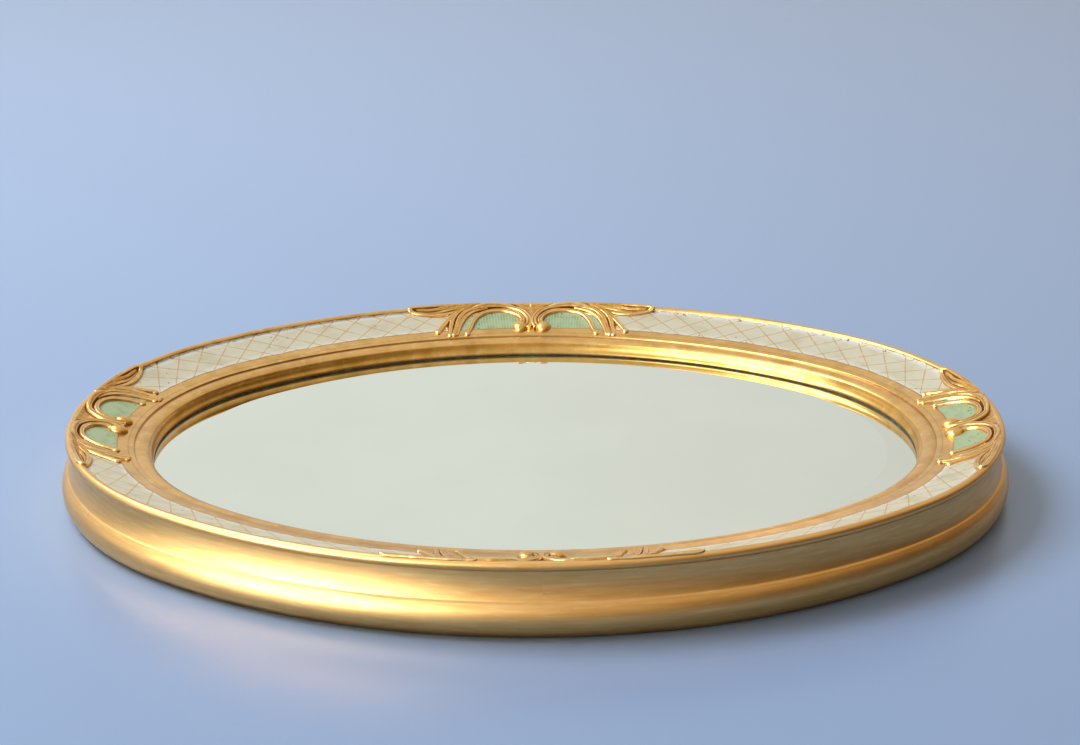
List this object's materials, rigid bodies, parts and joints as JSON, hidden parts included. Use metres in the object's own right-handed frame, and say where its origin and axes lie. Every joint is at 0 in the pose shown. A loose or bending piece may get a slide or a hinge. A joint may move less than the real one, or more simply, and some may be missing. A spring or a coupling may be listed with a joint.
{
  "type": "oval wall mirror",
  "caption": "Oval bevelled mirror in a two-layer moulded frame with a painted lattice frieze, gilt scroll castings and a swinging ring hanger at the back.",
  "frame": {"origin": "centre of the oval on the back plane, which lies against the wall", "axes": "+Z out of the glass, away from the wall; +X along the oval's long axis, towards the end with the ring hanger"},
  "size_m": [0.49, 0.3898, 0.0384],
  "materials": {
    "face_gilt": "gilt and painted, semi-gloss",
    "base_wood": "bronze-brown gilt outside, bare poplar at the back",
    "castings": "gilt with a dark rubbed patina",
    "glass": "polished, with a wide bevel",
    "card": "matte",
    "board": "raw thin board",
    "beech": "raw",
    "brass": "lightly tarnished",
    "steel": "dull"
  },
  "bodies": {
    "frame": {"face_segment_upper_right": "face_gilt", "face_segment_upper_left": "face_gilt", "face_segment_lower_left": "face_gilt", "face_segment_lower_right": "face_gilt", "back_segment_right": "base_wood", "back_segment_top": "base_wood", "back_segment_left": "base_wood", "back_segment_bottom": "base_wood", "right_scroll_upper": "castings", "right_scroll_lower": "castings", "top_scroll_left": "castings", "top_scroll_right": "castings", "left_scroll_lower": "castings", "left_scroll_upper": "castings", "bottom_scroll_right": "castings", "bottom_scroll_left": "castings", "face_joint_dowels": "beech", "back_joint_dowels": "beech", "mirror_glass": "glass", "glass_slips": "beech", "backing_card": "card", "backing_board": "board", "backing_sprigs": "steel", "hanger_plate": "brass", "hanger_screws": "steel"},
    "ring": {"hanger_ring": "brass"}
  },
  "joints": [
    {"name": "ring_swing", "type": "hinge", "parent": "frame", "child": "ring", "pos_m": [0.222, 0, 0.00275], "axis": [0, 1, 0], "range_deg": [0, 150]}
  ]
}
